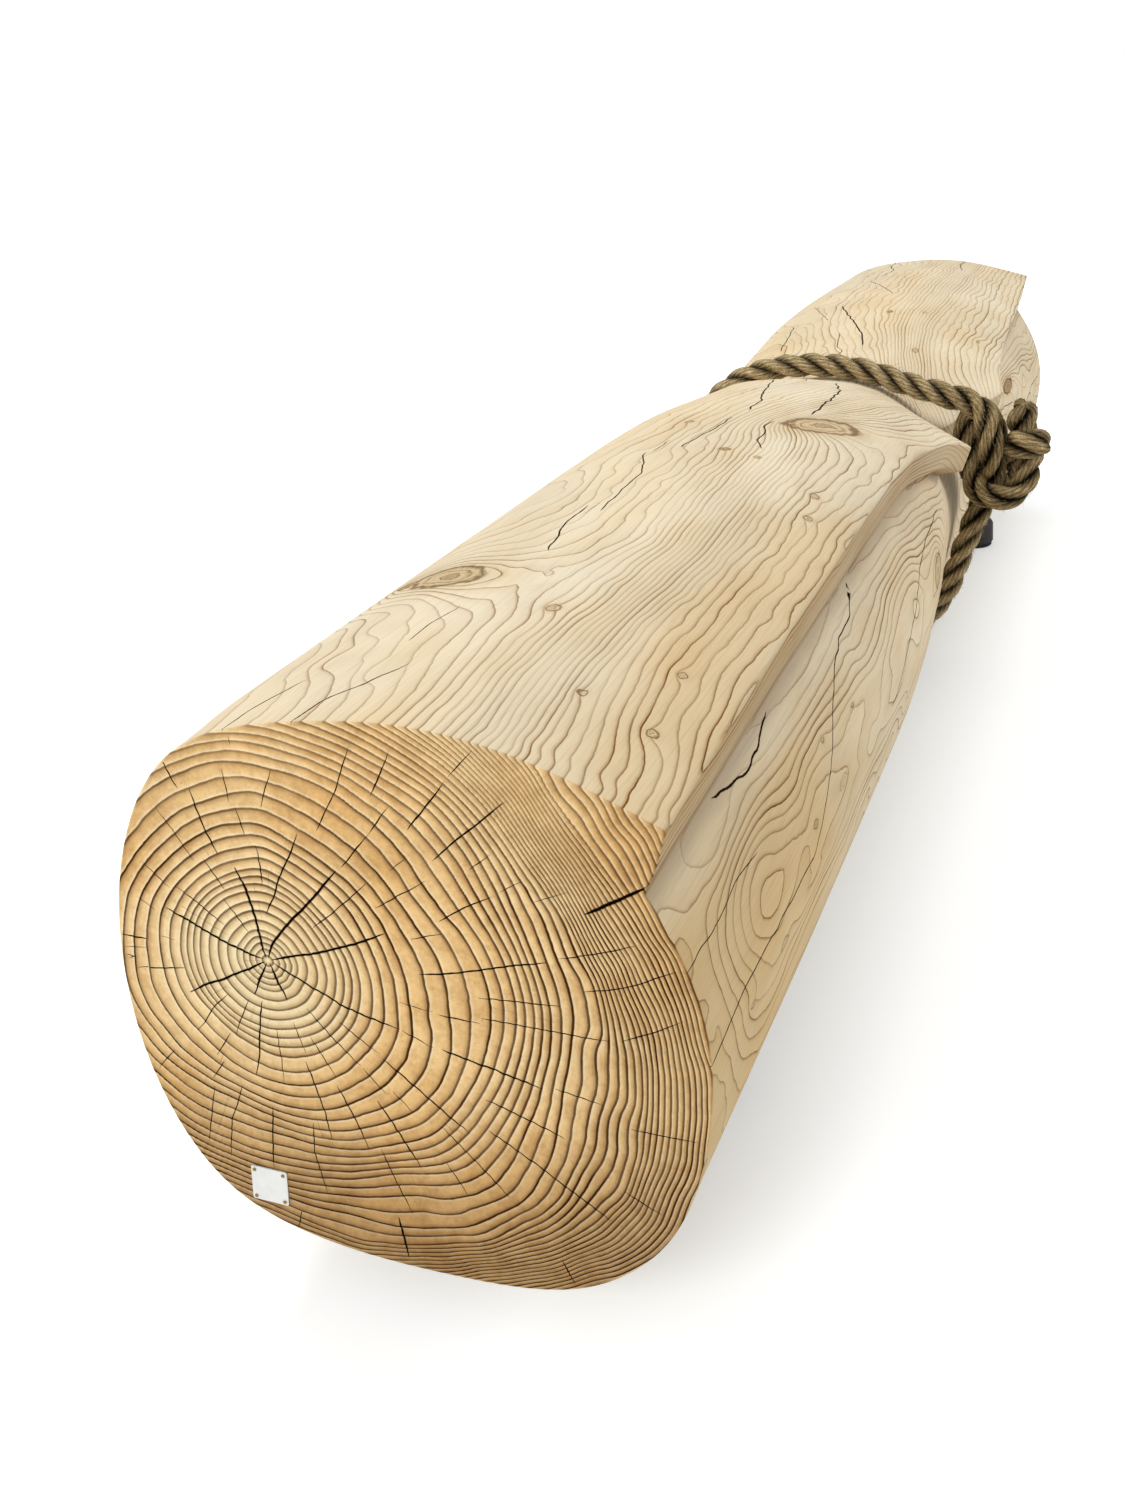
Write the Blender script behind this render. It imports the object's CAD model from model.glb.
import math

import bpy
import numpy as np
from mathutils import Matrix, Vector


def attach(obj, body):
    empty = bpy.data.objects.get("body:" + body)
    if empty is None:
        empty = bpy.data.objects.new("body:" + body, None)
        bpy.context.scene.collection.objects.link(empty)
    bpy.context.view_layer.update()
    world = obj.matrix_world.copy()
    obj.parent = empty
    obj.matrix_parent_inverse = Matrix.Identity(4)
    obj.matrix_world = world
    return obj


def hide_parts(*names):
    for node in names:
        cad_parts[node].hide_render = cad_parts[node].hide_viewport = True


# Rustic log bench: a trunk whose face is rolled under a lapped flap, tied at its waist with a rope.
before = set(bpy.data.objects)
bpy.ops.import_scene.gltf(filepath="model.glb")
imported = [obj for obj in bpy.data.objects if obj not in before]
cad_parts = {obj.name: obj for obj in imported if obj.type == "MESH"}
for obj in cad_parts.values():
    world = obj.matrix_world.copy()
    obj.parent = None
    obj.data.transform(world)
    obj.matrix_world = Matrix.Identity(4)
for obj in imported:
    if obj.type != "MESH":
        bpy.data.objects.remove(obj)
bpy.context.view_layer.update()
MM = 0.001

# The trunk's own frame, as in the CAD: along from the near end, out to the lapped side, up from its underside.
START_X = -1299
AXIS_Y = 32.5
FLOOR_GAP = 42
TRUNK_LENGTH = 2600
WAIST_X = 1510


def place(along, out, up):
    """Trunk measures in millimetres to the shared frame in metres."""
    return np.stack([START_X + along, AXIS_Y - out, FLOOR_GAP + up], axis=-1) * MM


# ---------------------------------------------------------------- camera and light
CAMERA_PLACE = Vector((-2.179, -0.4009, 0.876))
CAMERA_FORWARD = Vector((0.8655, 0.3092, -0.3941))
CAMERA_RIGHT = Vector((0.3364, -0.9417, 0.0))
CAMERA_LENS = 39.58
SENSOR_WIDTH = 36
CLIP_END = 60
# Name, place, target, size of the disc, watts, colour.
LIGHTS = (
    ("key", (0.3, 2.5, 3.7), (0.1, 0, 0.25), 1.8, 110, (1.0, 1.0, 0.99)),
    ("front", (-4.2, 0.6, 1.7), (-1.3, 0, 0.25), 1.4, 57, (1.0, 0.99, 0.97)),
    ("side", (1.0, -3.6, 2.2), (0.4, 0, 0.25), 2.0, 66, (1.0, 1.0, 0.98)),
)


def linked(name, data):
    """A new object in the scene."""
    made = bpy.data.objects.new(name, data)
    bpy.context.scene.collection.objects.link(made)
    return made


def add_camera():
    data = bpy.data.cameras.new("camera")
    data.lens = CAMERA_LENS
    data.sensor_width = SENSOR_WIDTH
    data.clip_end = CLIP_END
    camera = linked("camera", data)
    upward = CAMERA_RIGHT.cross(CAMERA_FORWARD)
    turn = Matrix((CAMERA_RIGHT, upward, -CAMERA_FORWARD)).transposed().to_4x4()
    camera.matrix_world = Matrix.Translation(CAMERA_PLACE) @ turn
    bpy.context.scene.camera = camera


def add_area_light(name, position, target, size, watts, colour):
    data = bpy.data.lights.new(name, "AREA")
    data.shape = "DISK"
    data.size = size
    data.energy = watts
    data.color = colour
    lamp = linked(name, data)
    direction = Vector(target) - Vector(position)
    lamp.location = position
    lamp.rotation_euler = direction.to_track_quat("-Z", "Y").to_euler()


add_camera()


# ---------------------------------------------------------------- node helpers
class Nodes:
    """Short calls for building one material's nodes."""

    def __init__(self, name):
        self.material = bpy.data.materials.new(name)
        self.material.use_nodes = True
        self.tree = self.material.node_tree
        self.shader = self.tree.nodes["Principled BSDF"]
        self.output = self.tree.nodes["Material Output"]

    def put(self, socket, value):
        if isinstance(value, bpy.types.NodeSocket):
            self.tree.links.new(value, socket)
        else:
            socket.default_value = value

    def add(self, kind, **settings):
        node = self.tree.nodes.new(kind)
        for key, value in settings.items():
            setattr(node, key, value)
        return node

    def math(self, operation, a, b=0.0, c=0.0, clamp=False):
        node = self.add("ShaderNodeMath", operation=operation, use_clamp=clamp)
        for socket, value in zip(node.inputs, (a, b, c)):
            self.put(socket, value)
        return node.outputs[0]

    def attribute(self, name):
        return self.add("ShaderNodeAttribute", attribute_name=name).outputs["Fac"]

    def times(self, a, b, clamp=False):
        return self.math("MULTIPLY", a, b, clamp=clamp)

    def minus(self, a, b, clamp=False):
        return self.math("SUBTRACT", a, b, clamp=clamp)

    def times_plus(self, a, b, c):
        return self.math("MULTIPLY_ADD", a, b, c)

    def noise(self, vector, scale=1.0, detail=2.0, roughness=0.5):
        node = self.add("ShaderNodeTexNoise")
        self.put(node.inputs["Vector"], vector)
        node.inputs["Scale"].default_value = scale
        node.inputs["Detail"].default_value = detail
        node.inputs["Roughness"].default_value = roughness
        return node.outputs["Fac"]

    def grain(self, scale, detail=2.0, roughness=0.5):
        """Noise over the shared frame; its scale is one number, or one for each axis."""
        geometry = self.add("ShaderNodeNewGeometry")
        stretch = self.add("ShaderNodeVectorMath", operation="MULTIPLY")
        self.put(stretch.inputs[0], geometry.outputs["Position"])
        stretch.inputs[1].default_value = [float(part) for part in np.broadcast_to(scale, 3)]
        return self.noise(stretch.outputs[0], 1.0, detail, roughness)

    def ramp(self, value, stops):
        """A colour ramp; each stop is a place and either a grey or a colour."""
        node = self.add("ShaderNodeValToRGB")
        elements = node.color_ramp.elements
        while len(elements) < len(stops):
            elements.new(0.5)
        for element, (where, colour) in zip(elements, stops):
            element.position = where
            element.color = (colour, colour, colour, 1) if isinstance(colour, float) else (*colour, 1)
        self.put(node.inputs["Fac"], value)
        return node.outputs["Color"]

    def mix(self, factor, a, b, blend="MIX"):
        node = self.add("ShaderNodeMix", data_type="RGBA", blend_type=blend)
        self.put(node.inputs[0], factor)
        self.put(node.inputs[6], a if isinstance(a, bpy.types.NodeSocket) else (*a, 1))
        self.put(node.inputs[7], b if isinstance(b, bpy.types.NodeSocket) else (*b, 1))
        return node.outputs[2]

    def bump(self, height, distance):
        node = self.add("ShaderNodeBump")
        node.inputs["Strength"].default_value = 1.0
        node.inputs["Distance"].default_value = distance
        self.put(node.inputs["Height"], height)
        return node.outputs["Normal"]

    def finish(self, colour, roughness, normal, specular=0.35, metallic=0.0):
        self.put(self.shader.inputs["Base Color"], colour)
        self.put(self.shader.inputs["Roughness"], roughness)
        self.put(self.shader.inputs["Normal"], normal)
        self.shader.inputs["Specular IOR Level"].default_value = specular
        self.shader.inputs["Metallic"].default_value = metallic
        return self.material


def srgb(red, green, blue):
    """A screen colour, 0 to 255, as the linear colour that shaders take."""
    parts = np.array([red, green, blue]) / 255
    linear = np.where(parts <= 0.04045, parts / 12.92, ((parts + 0.055) / 1.055) ** 2.4)
    return tuple(float(part) for part in linear)


# ---------------------------------------------------------------- trunk sections
# Each station: along, crown, underside, back, front, lip out and up, lower lip out and up, crease out and up, swing.
STATIONS = np.array([
    (0, 433, 0, 222, 222, 187, 388, 180, 357, 174, 343, 0),
    (450, 435, 0, 226, 224, 178, 390, 172, 353, 166, 341, 0),
    (900, 437, 0, 228, 222, 175, 390, 169, 350, 162, 338, 0),
    (1060, 435, 1, 228, 216, 178, 385, 169, 347, 159, 334, 0),
    (1225, 425, 4, 226, 205, 196, 369, 187, 335, 165, 324, 0),
    (1382, 409, 9, 220, 197, 219, 349, 210, 315, 178, 306, 0.33),
    (1492, 388, 20, 198, 181, 150, 322, 148, 298, 140, 286, 0),
    (1528, 388, 20, 198, 181, 150, 322, 148, 298, 140, 286, 0),
    (1638, 409, 9, 220, 197, 219, 349, 210, 315, 178, 306, -0.33),
    (1810, 427, 5, 231, 209, 203, 370, 194, 335, 167, 323, 0),
    (1980, 436, 1, 240, 215, 191, 381, 181, 345, 160, 332, 0),
    (2150, 439, 0, 243, 216, 185, 386, 175, 348, 158, 335, 0),
    (2375, 438, 0, 243, 215, 178, 397, 169, 356, 155, 342, 0),
    (2600, 435, 0, 243, 213, 167, 411, 160, 366, 152, 350, 0),
], float)
NEAR_MOUTH = 5
FAR_MOUTH = 8
FULL_ROUND = np.array([
    (204, 290), (222, 222), (219, 145), (196, 74), (140, 20), (40, 0), (-60, 2), (-145, 30),
    (-200, 105), (-222, 200), (-212, 308), (-165, 390), (-70, 426), (25, 433), (110, 417),
], float)
FULL_LIP = np.array((187, 388), float)
FULL_CREASE = np.array((174, 343), float)
CROWN_OUT = 25
CREASE_PULL = 0.35
FULL_HALF_WIDTH = 222
FULL_HEIGHT = 433
ROUND_COLUMNS = 238
STRIP_PARTS = (7, 4)
CORNER = 2.6


def smooth_between(xs, ys, at):
    """A smooth curve through the points that never overshoots them."""
    step = np.diff(xs)
    slope = np.diff(ys) / step
    tangent = np.zeros_like(ys)
    for k in range(1, len(xs) - 1):
        if slope[k - 1] * slope[k] > 0:
            left = 2 * step[k] + step[k - 1]
            right = step[k] + 2 * step[k - 1]
            tangent[k] = (left + right) / (left / slope[k - 1] + right / slope[k])
    tangent[0] = slope[0]
    tangent[-1] = slope[-1]
    k = np.clip(np.searchsorted(xs, at) - 1, 0, len(xs) - 2)
    t = (at - xs[k]) / step[k]
    rise = (2 * t**3 - 3 * t**2 + 1) * ys[k] + (3 * t**2 - 2 * t**3) * ys[k + 1]
    return rise + step[k] * ((t**3 - 2 * t**2 + t) * tangent[k] + (t**3 - t**2) * tangent[k + 1])


def station_values(along):
    """The measures of the section at one place along the trunk."""
    if along <= STATIONS[NEAR_MOUTH, 0]:
        part = STATIONS[: NEAR_MOUTH + 1]
    elif along >= STATIONS[FAR_MOUTH, 0]:
        part = STATIONS[FAR_MOUTH:]
    else:
        waist = STATIONS[NEAR_MOUTH : FAR_MOUTH + 1]
        return np.array([np.interp(along, waist[:, 0], waist[:, k]) for k in range(1, 12)])
    return np.array([smooth_between(part[:, 0], part[:, k], along) for k in range(1, 12)])


def reach_of(points):
    """How far along a line of points each of them lies."""
    return np.concatenate([[0], np.cumsum(np.linalg.norm(np.diff(points, axis=0), axis=1))])


def read_off(points, reach, stops):
    """The places on a line of points at some distances along it."""
    return np.stack([np.interp(stops, reach, column) for column in points.T], axis=-1)


def natural_curve(points, at):
    """A cubic curve through points, read at shares of its chord length."""
    chord = np.linalg.norm(np.diff(points, axis=0), axis=1)
    count = len(points)
    system = np.eye(count)
    sides = np.zeros((count, 2))
    for k in range(1, count - 1):
        system[k, k - 1 : k + 2] = (chord[k - 1], 2 * (chord[k - 1] + chord[k]), chord[k])
        sides[k] = 6 * ((points[k + 1] - points[k]) / chord[k] - (points[k] - points[k - 1]) / chord[k - 1])
    bend = np.linalg.solve(system, sides)
    reach = np.concatenate([[0], np.cumsum(chord)])
    where = at * reach[-1]
    k = np.clip(np.searchsorted(reach, where) - 1, 0, count - 2)
    t = (where - reach[k])[:, None]
    run = chord[k][:, None]
    slope = (points[k + 1] - points[k]) / run - run * (2 * bend[k] + bend[k + 1]) / 6
    return points[k] + t * slope + t**2 * bend[k] / 2 + t**3 * (bend[k + 1] - bend[k]) / (6 * run)


def rounded_corner(before, corner, after):
    """Three points that round a corner off by about CORNER."""
    to_before = (before - corner) / np.linalg.norm(before - corner)
    to_after = (after - corner) / np.linalg.norm(after - corner)
    start = corner + CORNER * to_before
    end = corner + CORNER * to_after
    return [start, 0.5 * corner + 0.25 * (start + end), end]


def section(along):
    """The closed loop of (out, up) points round the trunk: from the crease down the roll, under, up the back and
    over the crown to the lip, then down the flap's edge."""
    crown, underside, back, front, *edge, swing = station_values(along)
    lip, low, crease = np.reshape(edge, (3, 2))

    def rescale(points):
        share = np.where(points[..., 0] > 0, front, back) / FULL_HALF_WIDTH
        lifted = underside + points[..., 1] * (crown - underside) / FULL_HEIGHT
        return np.stack([points[..., 0] * share, lifted], axis=-1)

    on_crown = (FULL_ROUND[:, 0] > CROWN_OUT) & (FULL_ROUND[:, 1] > FULL_LIP[1])
    pull = ((FULL_ROUND[:, 0] - CROWN_OUT) / (FULL_LIP[0] - CROWN_OUT)) ** 2 * on_crown
    points = rescale(FULL_ROUND) + pull[:, None] * (lip - rescale(FULL_LIP))
    points[0] += CREASE_PULL * (crease - rescale(FULL_CREASE))
    through = np.vstack([crease, points, lip])
    fine = natural_curve(through, np.linspace(0, 1, 900))
    reach = reach_of(fine)
    curve = read_off(fine, reach, np.linspace(CORNER, reach[-1] - CORNER, ROUND_COLUMNS))
    at_lip = rounded_corner(curve[-1], lip, low)
    at_low = rounded_corner(lip, low, crease)
    at_crease = rounded_corner(low, crease, curve[0])
    loop = [
        curve,
        np.array(at_lip[1:]),
        np.linspace(at_lip[2], at_low[0], STRIP_PARTS[0] + 1)[1:],
        np.array(at_low[1:]),
        np.linspace(at_low[2], at_crease[0], STRIP_PARTS[1] + 1)[1:],
        np.array(at_crease[1:2]),
    ]
    return np.vstack(loop), swing


def loop_normals(loop):
    """Outward directions of a closed section loop, which runs clockwise seen from the near end."""
    tangent = np.roll(loop, -1, axis=0) - np.roll(loop, 1, axis=0)
    tangent /= np.linalg.norm(tangent, axis=1)[:, None]
    return np.stack([-tangent[:, 1], tangent[:, 0]], axis=-1)


# ---------------------------------------------------------------- growth rings
PITH_OUT = -101
PITH_UP = 240
LATTICE_SIZE = 48
LATTICE = np.random.default_rng(1920).uniform(-1, 1, (LATTICE_SIZE,) * 3)
SOFTENED_DEGREES = 8
# Radii in mm of some of the rings, read by eye off the near end at angles from the lapped side upwards.
READ_RINGS = (5, 9, 12, 14, 16, 18, 20, 22, 24, 26, 28, 30, 35, 40, 45, 52)
RING_RADII = {
    -180: (25, 55, 71, 89, 111, 128, 148, 164, 178, 190, 201, 211, 236, 258, 278, 306),
    -150: (25, 57, 73, 93, 119, 139, 157, 172, 184, 196, 206, 216, 240, 262, 282, 310),
    -135: (25, 58, 72, 94, 120, 140, 158, 174, 187, 199, 209, 219, 242, 264, 284, 312),
    -120: (25, 58, 73, 97, 118, 133, 156, 173, 187, 198, 208, 218, 240, 262, 282, 310),
    -105: (25, 57, 75, 100, 118, 131, 150, 169, 183, 194, 204, 214, 238, 260, 280, 308),
    -90: (25, 57, 78, 102, 122, 135, 148, 168, 182, 194, 204, 217, 242, 262, 282, 310),
    -75: (25, 56, 78, 102, 124, 141, 155, 169, 182, 197, 214, 236, 256, 274, 292, 316),
    -60: (24, 56, 78, 99, 122, 144, 162, 174, 184, 204, 234, 248, 264, 280, 296, 322),
    -45: (24, 56, 77, 96, 121, 149, 170, 186, 203, 227, 249, 263, 282, 299, 315, 340),
    -30: (23, 55, 76, 94, 119, 150, 170, 186, 202, 219, 242, 261, 298, 319, 339, 366),
    -15: (24, 55, 74, 93, 114, 144, 170, 187, 201, 215, 230, 251, 286, 308, 329, 357),
    0: (24, 54, 72, 89, 109, 140, 169, 188, 202, 214, 229, 248, 272, 292, 311, 338),
    15: (23, 52, 69, 87, 105, 131, 160, 179, 192, 203, 221, 236, 250, 265, 287, 318),
    30: (22, 50, 66, 85, 102, 123, 148, 172, 188, 202, 214, 223, 238, 252, 267, 312),
    45: (22, 50, 65, 84, 99, 123, 148, 171, 189, 202, 212, 223, 238, 252, 268, 310),
    60: (22, 51, 66, 83, 98, 124, 151, 169, 183, 195, 207, 217, 237, 255, 272, 308),
    75: (23, 53, 69, 85, 100, 126, 151, 166, 179, 192, 204, 214, 236, 257, 276, 306),
    90: (24, 55, 73, 90, 108, 132, 153, 168, 180, 191, 202, 212, 236, 258, 278, 306),
    105: (25, 55, 71, 88, 107, 127, 150, 165, 177, 189, 200, 210, 235, 258, 278, 306),
    120: (25, 54, 69, 85, 103, 124, 148, 163, 176, 188, 199, 209, 234, 257, 278, 306),
    135: (24, 54, 69, 84, 101, 121, 144, 161, 175, 187, 198, 208, 233, 256, 277, 305),
    150: (24, 55, 69, 86, 104, 123, 144, 161, 175, 187, 198, 208, 233, 256, 277, 305),
    165: (25, 55, 70, 88, 107, 126, 146, 162, 176, 188, 199, 209, 234, 257, 278, 306),
}
LAST_RING = 90
LAST_RADIUS = 480


def lattice_noise(points, shift=0.0):
    """Smooth noise between -1 and 1."""
    moved = points + shift
    base = np.floor(moved).astype(int)
    part = moved - base
    part = part**3 * (part * (part * 6 - 15) + 10)
    total = np.zeros(points.shape[:-1])
    for corner in np.ndindex(2, 2, 2):
        weight = np.prod(np.where(corner, part, 1 - part), axis=-1)
        index = (base + np.array(corner)) % LATTICE_SIZE
        total += weight * LATTICE[index[..., 0], index[..., 1], index[..., 2]]
    return total


def smoothstep(value, start, end):
    t = np.clip((value - start) / (end - start), 0, 1)
    return t * t * (3 - 2 * t)


def fade(value, start, end):
    """A smooth step down instead of up."""
    return 1 - smoothstep(value, start, end)


def ring_radii_by_degree():
    """RING_RADII at every degree round the pith, softened between the angles that were read."""
    degrees = np.arange(-180, 180)
    window = np.hanning(2 * SOFTENED_DEGREES + 1)
    window /= window.sum()
    table = []
    for radii in np.transpose([(0, *row, LAST_RADIUS) for row in RING_RADII.values()]):
        coarse = np.interp(degrees, list(RING_RADII), radii, period=360)
        wrapped = np.concatenate([coarse[-SOFTENED_DEGREES:], coarse, coarse[:SOFTENED_DEGREES]])
        table.append(np.convolve(wrapped, window, "valid"))
    return np.array(table)


RADII_TABLE = ring_radii_by_degree()
RING_NUMBERS = np.array((0, *READ_RINGS, LAST_RING), float)


def rings_at(radius, degrees):
    """Ring number at a distance from the pith in some direction of the near end."""
    turn = (degrees + 180) % 360
    low = np.floor(turn).astype(int) % 360
    part = turn - np.floor(turn)
    radii = RADII_TABLE[:, low] * (1 - part) + RADII_TABLE[:, (low + 1) % 360] * part
    k = np.clip(np.sum(radii <= radius, axis=0) - 1, 0, len(RING_NUMBERS) - 2)
    column = np.arange(len(radius))
    inner = radii[k, column]
    outer = radii[k + 1, column]
    return RING_NUMBERS[k] + (radius - inner) / (outer - inner) * (RING_NUMBERS[k + 1] - RING_NUMBERS[k])


def on_roll(out, up):
    """1 on the rolled face below the crease, where the surface skims the rings."""
    return smoothstep(out, 165, 205) * fade(up, 300, 345)


def on_back_crown(out, up):
    """1 on the top over the pith, where the surface skims the rings too."""
    return smoothstep(-out, -30, 60) * smoothstep(up, 300, 380)


def ring_number(along, out, up):
    """How many growth rings lie between the pith and a point of the trunk."""
    inside = smoothstep(along, 0, 190)
    slow = np.stack([along / 420, np.full(along.shape, 3.3), np.full(along.shape, 7.1)], axis=-1)
    side = out - PITH_OUT - inside * 9 * lattice_noise(slow)
    rise = up - PITH_UP - inside * 7 * lattice_noise(slow, 11.7)
    radius = np.hypot(side, rise)
    rings = rings_at(radius, np.degrees(np.arctan2(rise, side)))
    point = np.stack([along, out, up], axis=-1)
    rings += 0.16 * lattice_noise(point / 40, 5.2) * smoothstep(radius, 20, 90)
    rings += 0.06 * lattice_noise(point / 14, 9.4) * (1 - inside)
    dense = smoothstep(radius, 190, 270) * fade(along, 0, 70)
    rings += 0.50 * lattice_noise(point / 26, 15.7) * dense
    rings += 0.30 * lattice_noise(point / (60, 30, 30), 21.3) * smoothstep(up, 320, 390) * inside
    rings += 0.22 * lattice_noise(point / (30, 14, 14), 27.9) * smoothstep(up, 340, 400) * smoothstep(along, 150, 350)
    # Away from the sawn end the trunk's swells and hollows bend the rings, most where the surface skims them.
    skims = inside * (0.5 + 0.8 * on_back_crown(out, up) + 0.8 * on_roll(out, up))
    rings += skims * 1.30 * lattice_noise(point / (270, 85, 85), 2.6)
    rings += skims * 0.62 * lattice_noise(point / (92, 40, 40), 6.8)
    rings += inside * (0.10 + 0.22 * on_roll(out, up)) * lattice_noise(point / (75, 17, 17), 13.1)
    rolled = smoothstep(out, 120, 205) * fade(up, 255, 345)
    rings += inside * rolled * (6.0 * smoothstep(up, 50, 230) + 1.1 * lattice_noise(point / (170, 42, 42), 4.9))
    near_lip = smoothstep(out, 10, 150) * smoothstep(up, 340, 380)
    rings += 3.6 * near_lip * smoothstep(along, 0, 280) * (1 - 0.6 * smoothstep(along, 500, 1100))
    return rings


# Knots: along, distance from the lip over the crown (on the roll: from the crease down), half size along, half size
# across, tilt in degrees, rings it pushes aside, how dark. Their places were read by eye off the photo, except that
# the first of TOP_KNOTS and the last of ROLL_KNOTS were set by look, as most of the sizes were.
TOP_KNOTS = (
    (334, 286, 30, 32, -8, 12.5, 0.85),
    (332, 324, 9, 10, -8, 3.0, 1.0),
    (1010, 104, 56, 26, -33, 12.0, 0.8),
    (535, 362, 50, 5, 21, 1.8, 0.6),
    (110, 40, 8, 5, 0, 1.5, 0.8),
    (215, 47, 7, 4, 0, 1.3, 0.8),
    (123, 98, 7, 4, 0, 1.1, 0.8),
    (258, 166, 9, 6, 0, 1.3, 0.8),
    (815, 169, 7, 6, 0, 1.2, 1.0),
    (963, 250, 8, 5, 0, 1.2, 0.9),
    (670, 44, 8, 5, 0, 1.2, 0.8),
    (742, 53, 9, 5, 0, 1.2, 0.8),
    (803, 130, 6, 4, 0, 0.8, 0.8),
    (1888, 192, 11, 4, 0, 1.1, 1.0),
    (1924, 139, 8, 3, 0, 0.8, 0.8),
    (1876, 42, 9, 3, 0, 0.9, 0.9),
    (1684, 138, 11, 5, 0, 1.0, 0.8),
)
ROLL_KNOTS = (
    (338, 108, 9, 4, 0, 0.9, 0.9),
    (452, 118, 22, 5, 0, 0.9, 0.35),
    (110, 145, 9, 3, 0, 0.8, 0.7),
    (210, 148, 14, 4, 0, 0.9, 0.6),
    (540, 80, 9, 3, 0, 0.8, 0.7),
    (424, 68, 8, 3, 0, 0.7, 0.7),
    (1145, 112, 48, 18, 0, 8.0, 0.8),
    (2080, 55, 58, 9, 0, 5.0, 1.0),
)
# Guessed knots on the back and underneath, which the photo doesn't show; measured as TOP_KNOTS.
UNSEEN_KNOTS = (
    (2060, 586, 34, 22, 0, 10.0, 0.9),
    (700, 500, 36, 24, 0, 10.0, 0.9),
    (1150, 625, 24, 16, 0, 8.0, 0.8),
    (520, 925, 30, 20, 0, 8.0, 0.8),
    (1950, 900, 26, 18, 0, 8.0, 0.8),
)
# Closed loops that the rings draw where the surface skims them: along, distance as above, half sizes, rings.
TOP_ISLANDS = ((116, 287, 28, 20, 1.4), (197, 287, 29, 20, 1.4), (95, 243, 28, 14, 1.1), (745, 285, 75, 44, 1.2))
ROLL_ISLANDS = ((135, 25, 85, 28, -2.4),)
KNOT_FALL = 0.62
ISLAND_FALL = 1.1


def across_surface(along, out, up, middle, direction):
    """Measures from a place on the surface: ahead along the trunk, and across it with its sign."""
    d_out = out - middle[1]
    d_up = up - middle[2]
    aside = d_out * direction[0] + d_up * direction[1]
    depth = d_out * direction[1] - d_up * direction[0]
    return along - middle[0], np.hypot(aside, depth) * np.where(aside < 0, -1, 1)


def knot_fields(along, out, up):
    """Rings pushed aside by the knots and islands, and the nearest knot's distance in its own sizes."""
    pushed = np.zeros(along.shape)
    nearest = np.full(along.shape, 9.0)
    dark = np.zeros(along.shape)
    for middle, direction, long, wide, tilt, rings, depth in KNOT_PLACES:
        ahead, across = across_surface(along, out, up, middle, direction)
        turn = math.radians(tilt)
        on_long = ahead * math.cos(turn) + across * math.sin(turn)
        on_wide = across * math.cos(turn) - ahead * math.sin(turn)
        far = np.hypot(on_long / long, on_wide / wide)
        pushed += rings * np.exp(-KNOT_FALL * far)
        closer = far < nearest
        nearest = np.where(closer, far, nearest)
        dark = np.where(closer, depth, dark)
    for middle, direction, long, wide, rings in ISLAND_PLACES:
        ahead, across = across_surface(along, out, up, middle, direction)
        pushed += rings * np.exp(-ISLAND_FALL * ((ahead / long) ** 2 + (across / wide) ** 2))
    return pushed, nearest, dark


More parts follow.
